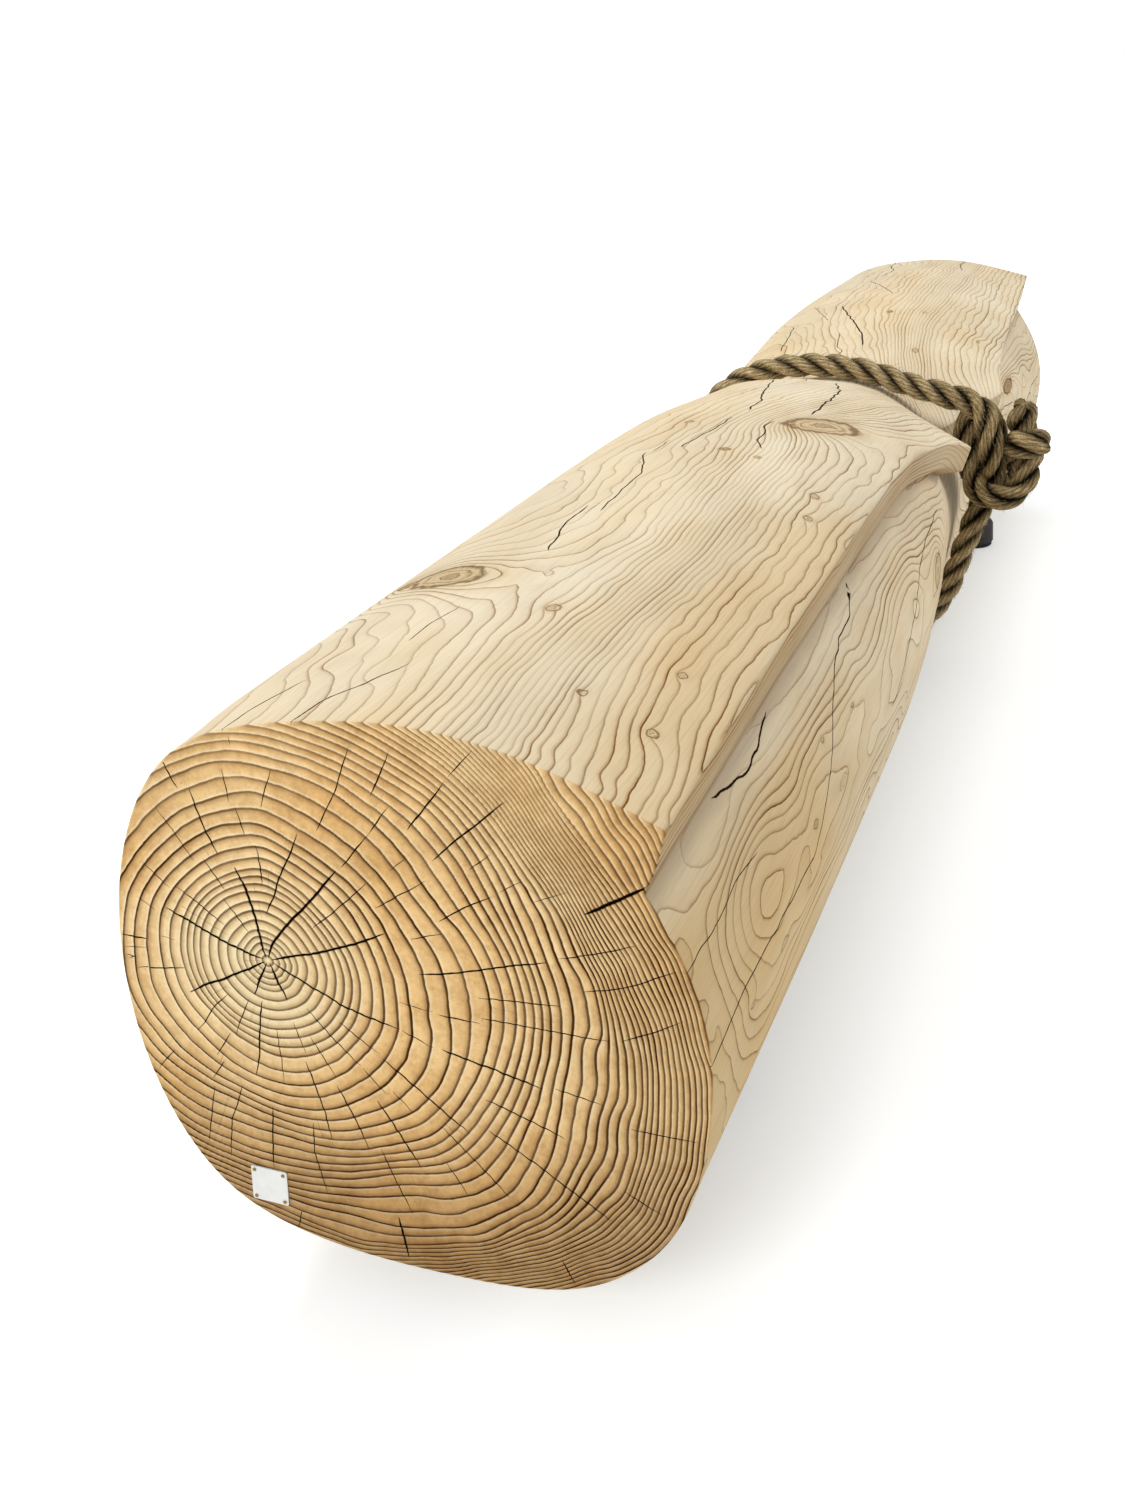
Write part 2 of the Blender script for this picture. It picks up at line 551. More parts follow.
# ---------------------------------------------------------------- cracks
# On the near end: half width in mm and points as (degrees as in RING_RADII, distance from the pith). The far end
# takes the same ones, as a guess.
END_CRACKS = (
    (0.5, (-164, 72), (-165, 92), (-166.5, 116)), (0.7, (-170, 103), (-171.5, 121)),
    (0.9, (-149, 3), (-148, 20), (-149, 44), (-150.5, 60), (-149.5, 80)),
    (0.4, (-136, 50), (-134.5, 70), (-132, 84), (-132, 99)), (0.4, (-117, 40), (-116, 60), (-114.5, 76)),
    (0.5, (-118, 77), (-119, 104)), (0.5, (-115, 103), (-116.5, 128)),
    (0.4, (-114.5, 130), (-112, 158), (-110.5, 182)), (0.4, (-132.5, 126), (-132, 152)),
    (0.4, (-105, 115), (-106, 150), (-104, 190)), (0.6, (-102, 36), (-100.5, 60), (-99, 82), (-100, 105)),
    (0.5, (-92.5, 125), (-93, 148), (-93, 182)), (0.3, (-87.5, 55), (-86.5, 80), (-87, 105)),
    (0.6, (-87, 216), (-88, 232)), (0.9, (-115, 3), (-116, 18), (-113, 36)),
    (0.4, (-78.5, 134), (-80.5, 160), (-79.5, 197)), (1.0, (-63, 3), (-67, 18), (-65, 36)),
    (0.4, (-71, 50), (-70.5, 78)), (0.5, (-72.5, 82), (-72.5, 120), (-73.5, 150)), (0.4, (-62.5, 64), (-60.5, 102)),
    (0.5, (-62.5, 105), (-62.5, 130), (-63.5, 162)), (0.4, (-60, 162), (-61, 190), (-61.5, 222)),
    (0.9, (-65, 219), (-66, 236), (-67, 259)), (0.6, (-51, 127), (-52, 160), (-53, 188)),
    (0.4, (-49.5, 44), (-48.5, 70), (-46.5, 100)), (0.4, (-46.5, 102), (-46.5, 128)),
    (0.4, (-43.5, 128), (-43.5, 152)), (0.4, (-46.5, 192), (-48, 226)), (0.4, (-40, 170), (-40.5, 205), (-41, 242)),
    (0.4, (-36, 66), (-35.5, 105)), (0.6, (-36, 106), (-36, 140), (-36, 190)), (0.7, (-42.5, 298), (-43.7, 320)),
    (0.5, (-32, 195), (-31.5, 240), (-31.5, 305)), (0.4, (-26, 296), (-26, 331)),
    (0.5, (-25.5, 182), (-24, 216), (-23.5, 246)), (0.7, (-20, 4), (-23.5, 22), (-23.5, 62), (-21, 88), (-19.5, 105)),
    (0.4, (-19.5, 108), (-19.5, 138)), (0.7, (-18.5, 139), (-17, 175), (-16, 216)), (0.4, (-15, 222), (-14, 262)),
    (0.4, (-16, 280), (-13.5, 328)), (0.3, (-7.5, 102), (-7, 130)), (0.5, (-7.5, 131), (-6, 164)),
    (0.4, (-4.5, 163), (-3.5, 205), (-2.5, 255)), (0.4, (1, 160), (2, 205), (2.5, 225)), (0.4, (-2, 262), (3, 305)),
    (0.6, (6, 118), (7.5, 148), (9.5, 175), (11, 218)), (0.4, (5.5, 236), (7, 266), (10, 306)),
    (0.4, (11.5, 222), (12.5, 255), (13.5, 280)),
    (0.9, (24, 4), (21, 20), (19.5, 36), (20.5, 60), (21, 74), (23.5, 104)), (0.4, (19, 118), (19.5, 146)),
    (0.5, (23, 144), (25, 170), (25.5, 190)), (0.3, (26, 196), (27, 220)), (1.3, (19, 249), (20, 270), (21.5, 300)),
    (0.3, (22.5, 218), (23, 246)), (0.4, (34, 104), (34.5, 154)), (0.4, (32.5, 184), (33.5, 206)),
    (0.6, (38, 165), (39, 190), (40, 236)), (0.4, (42, 50), (42, 74), (43.5, 114)), (0.4, (42, 133), (42, 152)),
    (0.6, (47, 165), (48, 190), (48.8, 214)), (0.4, (49, 218), (49, 244)), (0.5, (53.5, 105), (53.5, 141)),
    (0.5, (53.5, 142), (54, 172)), (1.0, (75, 4), (66, 22), (60.5, 38), (57, 54), (55, 74), (54.5, 102)),
    (0.5, (58.5, 166), (60, 204)), (0.4, (67.5, 118), (66.5, 150), (67.5, 192)),
    (0.6, (87, 38), (81, 52), (78, 70), (75, 90), (73.5, 112)), (0.4, (88, 120), (84.5, 152)),
    (0.5, (89.5, 60), (90.5, 82), (92.5, 95)), (0.5, (96, 97), (98, 122)), (0.5, (95.5, 164), (96, 174)),
    (0.4, (99.5, 122), (99.5, 148)), (1.0, (112, 3), (103, 20), (102, 44), (104, 60), (107, 74)),
    (0.6, (113, 85), (113.5, 105), (112, 138)), (0.6, (116, 138), (116, 164)), (0.4, (125, 25), (125.5, 58)),
    (0.5, (120.5, 60), (122, 86)), (0.3, (127, 88), (126.5, 135)), (0.4, (145, 40), (146, 86)),
    (0.4, (149, 88), (146.5, 118)), (0.9, (172, 4), (168, 20), (163, 46), (161.5, 68), (160.5, 88)),
    (0.4, (178, 76), (177, 90)), (0.4, (164.5, 92), (162.5, 108)), (0.9, (-179, 99), (-179.5, 121)),
)
# On the top: half width and points as (along, distance from the lip over the crown). The last four are guessed.
TOP_CRACKS = (
    (0.6, (0, 315), (30, 312), (62, 298), (80, 292)), (0.6, (0, 262), (42, 255), (72, 240), (112, 226)),
    (0.4, (165, 248), (210, 247), (250, 240)), (0.7, (410, 225), (440, 227), (470, 233), (500, 238), (565, 241)),
    (0.6, (545, 220), (600, 223), (650, 225), (700, 228), (740, 236), (770, 247), (800, 252)),
    (0.5, (800, 245), (855, 242)), (0.8, (818, 220), (860, 215), (900, 210), (945, 205), (985, 205)),
    (0.9, (1030, 199), (1100, 204), (1150, 220), (1200, 235), (1250, 250), (1300, 268), (1376, 292)),
    (1.0, (1052, 127), (1100, 130), (1150, 138), (1200, 147), (1250, 155), (1300, 170), (1378, 200)),
    (0.7, (840, 135), (875, 148), (920, 148), (945, 158), (975, 155)),
    (1.0, (1664, 217), (1720, 221), (1788, 236), (1860, 257), (1956, 279)),
    (0.7, (1684, 339), (1712, 342), (1760, 340), (1836, 345)), (0.4, (1836, 286), (1904, 307), (2000, 335)),
    (0.5, (1620, 234), (1656, 251), (1696, 254), (1740, 257)), (0.6, (2060, 208), (2156, 238), (2268, 275)),
    (0.7, (2330, 260), (2420, 248), (2520, 262), (2600, 258)), (0.6, (2450, 120), (2530, 128), (2600, 122)),
    (0.7, (560, 420), (660, 430), (780, 424)), (0.8, (1900, 430), (2040, 442), (2160, 436)),
)
# On the rolled face: half width and points as (along, distance from the crease down the roll). The last two are
# guessed.
ROLL_CRACKS = (
    (0.6, (0, 127), (100, 120), (200, 125), (320, 128), (360, 115), (420, 92), (480, 62), (540, 40), (600, 28),
     (660, 25), (706, 13)),
    (0.9, (165, 2), (200, 12), (240, 17), (290, 15), (345, 3)),
    (0.35, (0, 55), (60, 60), (130, 57), (190, 60)),
    (0.6, (706, 142), (740, 141), (800, 126), (900, 100), (1000, 72), (1100, 62), (1150, 57), (1250, 45)),
    (2.6, (688, 17), (714, 4)),
    (0.5, (1700, 60), (1820, 70), (1960, 66), (2080, 84)),
    (0.6, (2240, 130), (2380, 120), (2520, 132), (2600, 128)),
)
CRACK_REACH = 15.0
CRACK_DRAWN = 7.0
CRACK_STEP = 8
CRACK_WANDER = 2.2
END_CRACK_STEP = 5.0
END_CRACK_WANDER = 0.55


def mark_cracks(points, normals, cracks):
    """For each vertex, its signed distance across the nearest crack and that crack's half width there. The width is
    nought beyond CRACK_DRAWN, so the sign may change between cracks without drawing one."""
    offset = np.full(len(points), CRACK_REACH)
    width = np.zeros(len(points))
    best = np.full(len(points), CRACK_REACH)
    for half, line in cracks:
        span = np.linalg.norm(np.diff(line, axis=0), axis=1)
        reach = np.concatenate([[0], np.cumsum(span)])
        low = line.min(axis=0) - CRACK_REACH
        high = line.max(axis=0) + CRACK_REACH
        close = np.nonzero(np.all((points > low) & (points < high), axis=1))[0]
        for k in range(len(line) - 1):
            start = line[k]
            course = (line[k + 1] - start) / span[k]
            step = points[close] - start
            ahead = step @ course
            held = np.clip(ahead, 0, span[k])
            away = np.linalg.norm(step - held[:, None] * course, axis=1)
            nearer = away < best[close]
            chosen = close[nearer]
            best[chosen] = away[nearer]
            across = np.cross(course, normals[chosen])
            across /= np.maximum(np.linalg.norm(across, axis=1), 1e-9)[:, None]
            offset[chosen] = np.sum((points[chosen] - start) * across, axis=1)
            gone = reach[k] + ahead[nearer]
            taper = np.clip(gone / 9, 0, 1) * np.clip((reach[-1] - gone) / 14, 0, 1)
            drawn = (taper > 0) & (np.abs(offset[chosen]) < CRACK_DRAWN)
            width[chosen] = half * np.where(drawn, 0.35 + 0.65 * taper, 0)
    return offset, width


# ---------------------------------------------------------------- meshes
def mesh_object(name, vertices, faces, material, attributes=None, smooth=True):
    """A mesh from arrays in metres; faces is a list of arrays, each with faces of one number of sides."""
    mesh = bpy.data.meshes.new(name)
    vertices = np.asarray(vertices, np.float32)
    faces = [np.asarray(part, np.int32) for part in faces]
    corners = np.concatenate([part.ravel() for part in faces])
    totals = np.concatenate([np.full(len(part), part.shape[1], np.int32) for part in faces])
    mesh.vertices.add(len(vertices))
    mesh.vertices.foreach_set("co", vertices.ravel())
    mesh.loops.add(len(corners))
    mesh.loops.foreach_set("vertex_index", corners)
    mesh.polygons.add(len(totals))
    mesh.polygons.foreach_set("loop_start", np.concatenate([[0], np.cumsum(totals)[:-1]]).astype(np.int32))
    mesh.polygons.foreach_set("loop_total", totals)
    mesh.polygons.foreach_set("use_smooth", np.full(len(totals), smooth))
    mesh.update(calc_edges=True)
    mesh.validate()
    for key, values in (attributes or {}).items():
        layer = mesh.attributes.new(key, "FLOAT", "POINT")
        layer.data.foreach_set("value", np.asarray(values, np.float32))
    mesh.materials.append(material)
    return linked(name, mesh)


def grid_faces(rows, columns, flip=False):
    """Quads of a grid whose columns close on themselves."""
    row, column = np.meshgrid(np.arange(rows - 1), np.arange(columns), indexing="ij")
    here = row * columns + column
    beside = row * columns + (column + 1) % columns
    quads = np.stack([here, beside, beside + columns, here + columns], axis=-1).reshape(-1, 4)
    return quads[:, ::-1] if flip else quads


def fan_faces(ring, centre, flip=False):
    """Triangles from a closed ring of vertices to one in its middle."""
    beside = np.roll(ring, -1)
    middle = np.full(len(ring), centre)
    order = (beside, ring, middle) if flip else (ring, beside, middle)
    return np.stack(order, axis=-1)


RIM = 1.5
RIM_TURN = np.radians((0, 18, 36, 54, 72, 90))
RIM_PLACES = RIM * (1 - np.sin(RIM_TURN))
RIM_DRAWN = RIM * (1 - np.cos(RIM_TURN))
PAST_RIM = 1.2


def trunk_rows(start, end, spacing, near_rim, far_rim):
    """Places along the trunk and how far each loop is drawn in to round the ends' rims."""
    first = start + RIM + PAST_RIM if near_rim else start
    last = end - RIM - PAST_RIM if far_rim else end
    rows = [*(start + RIM_PLACES[::-1]), first] if near_rim else []
    drawn = [*RIM_DRAWN[::-1], 0.0] if near_rim else []
    marks = [first] + [s for s in STATIONS[NEAR_MOUTH : FAR_MOUTH + 1, 0] if first < s < last] + [last]
    for low, high in zip(marks[:-1], marks[1:]):
        count = max(2, round((high - low) / spacing))
        places = np.linspace(low, high, count + 1)[1 if rows else 0 :]
        rows += list(places)
        drawn += [0.0] * len(places)
    if far_rim:
        rows += [end - RIM, *(end - RIM_PLACES[1:])]
        drawn += [0.0, *RIM_DRAWN[1:]]
    return np.array(rows), np.array(drawn)


def trunk_points(rows, drawn):
    """Grid of (along, out, up) points and their outward normals."""
    points = []
    normals = []
    for along, inward in zip(rows, drawn):
        loop, swing = section(along)
        outward = loop_normals(loop)
        moved = loop - inward * outward
        points.append(np.column_stack([along - swing * moved[:, 0], moved]))
        normals.append(np.column_stack([np.zeros(len(loop)), outward]))
    return np.array(points), np.array(normals)


def surface_point(along, distance, from_lip):
    """The point of the surface a given distance from the lip over the crown, or from the crease down the roll."""
    loop, swing = section(along)
    curve = loop[:ROUND_COLUMNS]
    if from_lip:
        curve = curve[::-1]
    out, up = read_off(curve, reach_of(curve), distance)
    return along - swing * out, out, up


def surface_places(features, from_lip):
    """Each feature's middle on the surface and the direction across it, then its other measures."""
    places = []
    for along, distance, *rest in features:
        middle = np.array(surface_point(along, distance, from_lip))
        across = np.array(surface_point(along, distance + 3, from_lip))[1:] - middle[1:]
        places.append((middle, across / np.linalg.norm(across), *rest))
    return places


def crack_lines(cracks, from_lip):
    """Cracks of the trunk's surface as half widths and lines of (along, out, up) points."""
    lines = []
    for half, *stops in cracks:
        stops = np.array(stops, float)
        reach = reach_of(stops)
        fine = read_off(stops, reach, np.linspace(0, reach[-1], max(2, int(reach[-1] / CRACK_STEP))))
        wander = np.stack([fine[:, 0] / 17, fine[:, 1] / 17, np.full(len(fine), half)], axis=-1)
        fine[:, 1] += CRACK_WANDER * lattice_noise(wander)
        lines.append((half, np.array([surface_point(a, d, from_lip) for a, d in fine])))
    return lines


def end_crack_lines(along):
    """The sawn end's cracks as half widths and lines of (along, out, up) points."""
    lines = []
    for half, *stops in END_CRACKS:
        degrees, distance = np.array(stops, float).T
        places = np.arange(distance[0], distance[-1], END_CRACK_STEP)
        turn = np.radians(np.interp(places, distance, degrees))
        fine = np.column_stack([PITH_OUT + places * np.cos(turn), PITH_UP + places * np.sin(turn)])
        wander = np.column_stack([fine / 8, np.full(len(fine), half)])
        fine += END_CRACK_WANDER * np.column_stack([lattice_noise(wander), lattice_noise(wander, 4.4)])
        lines.append((half, np.column_stack([np.full(len(fine), along), fine])))
    return lines


def wood_attributes(points, normals, cracks):
    """What the wood's shader reads at every vertex. Warm goes from cream to orange-tan, bold is how strongly the
    rings show, faint is how far they fade on the end grain, and shade is dirt and shadow in the crease."""
    along, out, up = points.T
    pushed, nearest, dark = knot_fields(along, out, up)
    offset, width = mark_cracks(points, normals, cracks)
    radius = np.hypot(out - PITH_OUT, up - PITH_UP)
    broad = lattice_noise(points / (330, 110, 110), 3.1)
    small = lattice_noise(points / (90, 34, 34), 8.3)
    roll = on_roll(out, up)
    near_lip = smoothstep(out, 70, 165) * smoothstep(up, 350, 390)
    nearness = fade(along, 0, 900)
    warm = 0.28 + 0.20 * broad + 0.16 * small + roll * (0.10 + 0.55 * nearness)
    warm += 0.45 * near_lip * smoothstep(along, -200, 60) * fade(along, 480, 900)
    bold = 0.50 + 0.16 * small + 0.42 * roll + 0.34 * near_lip + 0.5 * np.exp(-0.35 * nearest)
    bold += 0.12 * on_back_crown(out, up) + 0.25 * fade(along, 0, 130)
    facing_end = np.abs(normals[:, 0])
    end_warm = 0.18 + 0.45 * smoothstep(radius, 30, 115) + 0.22 * broad + 0.16 * small
    end_warm += 0.12 * smoothstep(up, 200, 330) * fade(up, 360, 425)
    end_warm += 0.30 * smoothstep(radius, 235, 300) * smoothstep(up, 300, 360) * smoothstep(out, 40, 150)
    end_warm += 0.22 * fade(up, 20, 150)
    station = np.stack([np.interp(along, STATIONS[:, 0], STATIONS[:, k]) for k in (9, 10)])
    from_crease = np.hypot(out - station[0], up - station[1])
    shade = 0.75 * fade(from_crease, 0, 22) * (1 - facing_end)
    shade += 0.70 * fade(up, 10, 190) * facing_end + 0.22 * smoothstep(out, 90, 215) * facing_end
    shade += 0.28 * fade(up, 0, 90) * (1 - facing_end)
    return {
        "ring": ring_number(along, out, up) + pushed,
        "knot": nearest,
        "knot_dark": dark,
        "crack_offset": offset,
        "crack_width": width,
        "warm": np.clip(warm * (1 - facing_end) + end_warm * facing_end, 0, 1),
        "bold": np.clip(bold, 0, 1),
        "faint": 0.42 * smoothstep(up, 300, 410) + 0.28 * fade(radius, 15, 130),
        "shade": np.clip(shade, 0, 1),
    }


def ring_tightness(rings, points, rows, across):
    """Rings per millimetre of surface at each vertex of a grid, so the shader can draw lines of an even width."""
    grid = rings.reshape(rows, -1)
    placed = points.reshape(rows, -1, 3)
    step = np.linalg.norm(np.gradient(placed, axis=0), axis=-1)
    rate = np.abs(np.gradient(grid, axis=0)) / np.maximum(step, 0.05)
    if across:
        step = np.linalg.norm(np.roll(placed, -1, axis=1) - np.roll(placed, 1, axis=1), axis=-1)
        rate = np.hypot(rate, (np.roll(grid, -1, axis=1) - np.roll(grid, 1, axis=1)) / np.maximum(step, 0.05))
    return np.clip(rate, 0.006, 2).ravel()


TRUNK_CRACKS = crack_lines(TOP_CRACKS, True) + crack_lines(ROLL_CRACKS, False)
KNOT_PLACES = surface_places(TOP_KNOTS + UNSEEN_KNOTS, True) + surface_places(ROLL_KNOTS, False)
ISLAND_PLACES = surface_places(TOP_ISLANDS, True) + surface_places(ROLL_ISLANDS, False)


SKIN_DIP = 0.35
CROWN_SWELL = 3.2
BRUSHED_DEPTH = 0.5
NEAR_SPACING = 4.7
FAR_SPACING = 5.2
NEAR_FACE_LOOPS = 200
FAR_FACE_LOOPS = 130


def add_trunk_part(name, start, end, spacing, near_rim, far_rim, material):
    rows, drawn = trunk_rows(start, end, spacing, near_rim, far_rim)
    points, normals = trunk_points(rows, drawn)
    columns = points.shape[1]
    points = points.reshape(-1, 3)
    normals = normals.reshape(-1, 3)
    attributes = wood_attributes(points, normals, TRUNK_CRACKS)
    attributes["tight"] = ring_tightness(attributes["ring"], points, len(rows), True)
    from_end = np.minimum(points[:, 0], TRUNK_LENGTH - points[:, 0])
    attributes["sawn"] = fade(from_end, 0.4 * RIM, RIM + 0.6)
    on_edge = np.tile(np.arange(columns) > ROUND_COLUMNS, len(rows))
    attributes["shade"] = np.clip(attributes["shade"] + 0.5 * on_edge, 0, 1)
    attributes["warm"] = np.clip(attributes["warm"] + 0.4 * on_edge, 0, 1)
    dip = SKIN_DIP * (lattice_noise(points / (160, 60, 60), 1.9) - 1) * smoothstep(from_end, RIM, 40)
    # The back of the crown is a little fuller in the photo than in the CAD, from the near end to the waist.
    along, out, up = points.T
    fuller = smoothstep(-out, 20, 120) * smoothstep(up, 240, 350) * smoothstep(along, RIM, 90)
    dip += CROWN_SWELL * fuller * fade(along, 900, 1350)
    carved = points + normals * dip[:, None]
    return mesh_object(name, place(*carved.T), [grid_faces(len(rows), columns)], material, attributes)


def add_end_face(name, along, inner_count, cracks, material, facing):
    """The flat end: rings of vertices from the rim to the pith, with the latewood standing proud as brushing leaves
    it."""
    loop, _ = section(RIM if facing < 0 else TRUNK_LENGTH - RIM)
    rim = loop - RIM * loop_normals(loop)
    pith = np.array((PITH_OUT, PITH_UP), float)
    shares = np.linspace(0, 1, inner_count + 1)[:-1]
    flat = rim[None] + (pith - rim)[None] * shares[:, None, None]
    flat = np.concatenate([flat.reshape(-1, 2), [pith]])
    points = np.column_stack([np.full(len(flat), float(along)), flat])
    normals = np.tile((float(facing), 0.0, 0.0), (len(points), 1))
    attributes = wood_attributes(points, normals, cracks)
    tight = ring_tightness(attributes["ring"][:-1], points[:-1], inner_count, False)
    attributes["tight"] = np.append(tight, tight[-1])
    attributes["sawn"] = np.ones(len(points))
    phase = attributes["ring"] % 1
    ridge = smoothstep(phase, 0.25, 0.88) * fade(phase, 0.95, 1.0)
    edge = np.append(np.repeat(smoothstep(shares, 0, 0.012), len(rim)), 1.0)
    points[:, 0] -= facing * BRUSHED_DEPTH * (1 - ridge) * edge
    columns = len(rim)
    last = (inner_count - 1) * columns + np.arange(columns)
    faces = [
        grid_faces(inner_count, columns, flip=facing < 0),
        fan_faces(last, len(points) - 1, flip=facing < 0),
    ]
    return mesh_object(name, place(*points.T), faces, material, attributes)


# ---------------------------------------------------------------- wood
def wood_material(name, end_grain):
    """Softwood with latewood lines from the ring attribute; the sawn ends are deeper in colour and brushed."""
    nodes = Nodes(name)
    fine = nodes.grain(95, detail=3)
    tight = nodes.attribute("tight")
    waver = nodes.math("MINIMUM", nodes.times(tight, 3.2), 0.14)
    ring = nodes.times_plus(nodes.minus(fine, 0.5), waver, nodes.attribute("ring"))
    phase = nodes.math("FRACT", ring)
    number = nodes.math("FLOOR", ring)
    chance = nodes.add("ShaderNodeTexWhiteNoise", noise_dimensions="1D")
    nodes.put(chance.inputs["W"], number)
    boldness = chance.outputs["Value"]
    warm = nodes.attribute("warm")
    sawn = nodes.attribute("sawn")
    patch = nodes.grain((9, 26, 26), detail=3)
    to_edge = nodes.minus(1.0, phase)

    def share(distance, millimetres, most):
        """Distance in rings as a share of a width on the surface, or of part of a ring where rings are close."""
        width = nodes.math("MINIMUM", nodes.times(tight, millimetres), most)
        return nodes.math("DIVIDE", distance, width, clamp=True)

    def thin_line(width, most):
        before = nodes.ramp(share(to_edge, 4 * width, most), ((0.0, 1.0), (0.24, 1.0), (0.42, 0.38), (1.0, 0.0)))
        return nodes.math("MAXIMUM", before, nodes.minus(1.0, share(phase, 0.4, 0.12)))

    late = nodes.ramp(phase, ((0.02, 0.0), (0.40, 0.12), (0.80, 0.62), (0.97, 1.0), (1.0, 0.5)))
    end_line = thin_line(1.15, 0.80)
    side_line = thin_line(0.80, 0.62)
    glint = nodes.minus(1.0, share(phase, 2.6, 0.34))
    end_strength = nodes.times_plus(boldness, 0.22, 0.82)
    marked = nodes.times(nodes.math("COMPARE", number, 27.0, 0.5), 0.22)
    end_strength = nodes.math("ADD", end_strength, marked)
    side_strength = nodes.times(nodes.attribute("bold"), nodes.times_plus(boldness, 0.85, 0.35))
    end_strength = nodes.times(end_strength, nodes.times_plus(patch, 0.7, 0.62))
    end_strength = nodes.times(end_strength, nodes.minus(1.0, nodes.attribute("faint")))
    side_strength = nodes.times(side_strength, nodes.times_plus(patch, 1.3, 0.25))
    end_line = nodes.times(end_line, end_strength, clamp=True)
    side_line = nodes.times(side_line, side_strength, clamp=True)
    end_pale = nodes.mix(warm, srgb(250, 228, 178), srgb(234, 188, 120))
    mottle = nodes.grain(62, detail=6, roughness=0.72)
    mottle = nodes.times(nodes.ramp(mottle, ((0.42, 0.0), (0.64, 1.0))), nodes.times_plus(warm, 0.75, 0.15))
    end_pale = nodes.mix(mottle, end_pale, srgb(198, 152, 92))
    end_pale = nodes.mix(nodes.times(late, 0.52), end_pale, srgb(186, 136, 76))
    end_pale = nodes.mix(nodes.times(glint, 0.55), end_pale, srgb(255, 243, 210))
    side_pale = nodes.mix(warm, srgb(244, 231, 203), srgb(228, 196, 142))
    soft = nodes.times(nodes.times(late, side_strength), 0.42, clamp=True)
    side_pale = nodes.mix(soft, side_pale, srgb(196, 156, 96))
    end_colour = nodes.mix(end_line, end_pale, srgb(78, 42, 4))
    side_colour = nodes.mix(side_line, side_pale, srgb(126, 79, 24))
    if end_grain:
        colour = end_colour
        line = end_line
        fibre = nodes.grain(260, detail=4, roughness=0.7)
        spread, crack_colour, proud, depth = 1.15, srgb(14, 6, 1), 0.7, 0.0006
    else:
        colour = nodes.mix(sawn, side_colour, end_colour)
        line = side_line
        fibre = nodes.grain((14, 560, 560), detail=4, roughness=0.65)
        spread, crack_colour, proud, depth = 1.3, srgb(40, 22, 6), 0.16, 0.0005
    streak = nodes.ramp(fibre, ((0.28, 0.76), (0.50, 1.0), (0.75, 1.05)))
    colour = nodes.mix(0.55, colour, streak, blend="MULTIPLY")
    blotch = nodes.ramp(nodes.grain((4.0, 11, 11), detail=5), ((0.32, 0.88), (0.60, 1.0)))
    colour = nodes.mix(0.75, colour, blotch, blend="MULTIPLY")

    knot = nodes.attribute("knot")
    grainy = nodes.times_plus(nodes.minus(nodes.grain((60, 100, 100), detail=3), 0.5), 0.55, knot)
    halved = nodes.times(grainy, 0.5, clamp=True)
    knot_dark = nodes.attribute("knot_dark")
    halo = nodes.times(nodes.ramp(halved, ((0.40, 0.50), (0.95, 0.0))), knot_dark)
    colour = nodes.mix(halo, colour, srgb(204, 176, 128))
    eye_phase = nodes.math("FRACT", nodes.times(grainy, 3.0))
    eye_rings = nodes.ramp(eye_phase, ((0.0, 0.0), (0.60, 0.12), (0.88, 0.9), (1.0, 0.2)))
    deep = nodes.times(nodes.minus(knot_dark, 0.80), 5.0, clamp=True)
    eye = nodes.mix(deep, srgb(222, 198, 154), srgb(188, 158, 112))
    eye = nodes.mix(eye_rings, eye, srgb(112, 78, 42))
    eye = nodes.mix(nodes.ramp(halved, ((0.0, 0.95), (0.15, 0.0))), eye, srgb(78, 54, 28))
    heart = nodes.times(nodes.ramp(halved, ((0.44, 0.92), (0.54, 0.0))), knot_dark)
    colour = nodes.mix(heart, colour, eye)
    outline = nodes.ramp(halved, ((0.38, 0.0), (0.46, 0.85), (0.50, 0.85), (0.56, 0.0)))
    colour = nodes.mix(nodes.times(outline, knot_dark), colour, srgb(112, 76, 36))

    offset = nodes.math("ABSOLUTE", nodes.attribute("crack_offset"))
    width = nodes.attribute("crack_width")
    ragged = nodes.times(width, nodes.math("ADD", nodes.grain(260), 0.5))
    open_share = nodes.math("DIVIDE", offset, nodes.math("MAXIMUM", ragged, 0.001))
    crack = nodes.times(nodes.minus(spread, open_share, clamp=True), 2.0, clamp=True)
    crack = nodes.times(crack, nodes.math("GREATER_THAN", width, 0.05))
    colour = nodes.mix(crack, colour, crack_colour)
    shade = nodes.times(nodes.attribute("shade"), 0.62)
    colour = nodes.mix(shade, colour, srgb(122, 92, 52), blend="MULTIPLY")

    relief = nodes.times_plus(line, proud, nodes.times(fibre, 0.2))
    relief = nodes.minus(relief, nodes.times(crack, 2.0))
    normal = nodes.bump(relief, depth)
    rough = nodes.times_plus(line, -0.08, 0.64)
    wood = nodes.finish(colour, rough, normal)
    dull = nodes.times(nodes.math("MAXIMUM", crack, line), 0.17)
    nodes.put(nodes.shader.inputs["Specular IOR Level"], nodes.minus(0.18, dull))
    return wood


END_WOOD = wood_material("end_grain", True)
SIDE_WOOD = wood_material("side_grain", False)

near_half = add_trunk_part("log_near_half", 0, WAIST_X, NEAR_SPACING, True, False, SIDE_WOOD)
far_half = add_trunk_part("log_far_half", WAIST_X, TRUNK_LENGTH, FAR_SPACING, False, True, SIDE_WOOD)
near_face = add_end_face("log_near_face", 0, NEAR_FACE_LOOPS, end_crack_lines(0.0), END_WOOD, -1)
far_cracks = end_crack_lines(float(TRUNK_LENGTH))
far_face = add_end_face("log_far_face", TRUNK_LENGTH, FAR_FACE_LOOPS, far_cracks, END_WOOD, 1)
for piece in (near_half, far_half, near_face, far_face):
    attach(piece, "root")
    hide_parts("log_body")


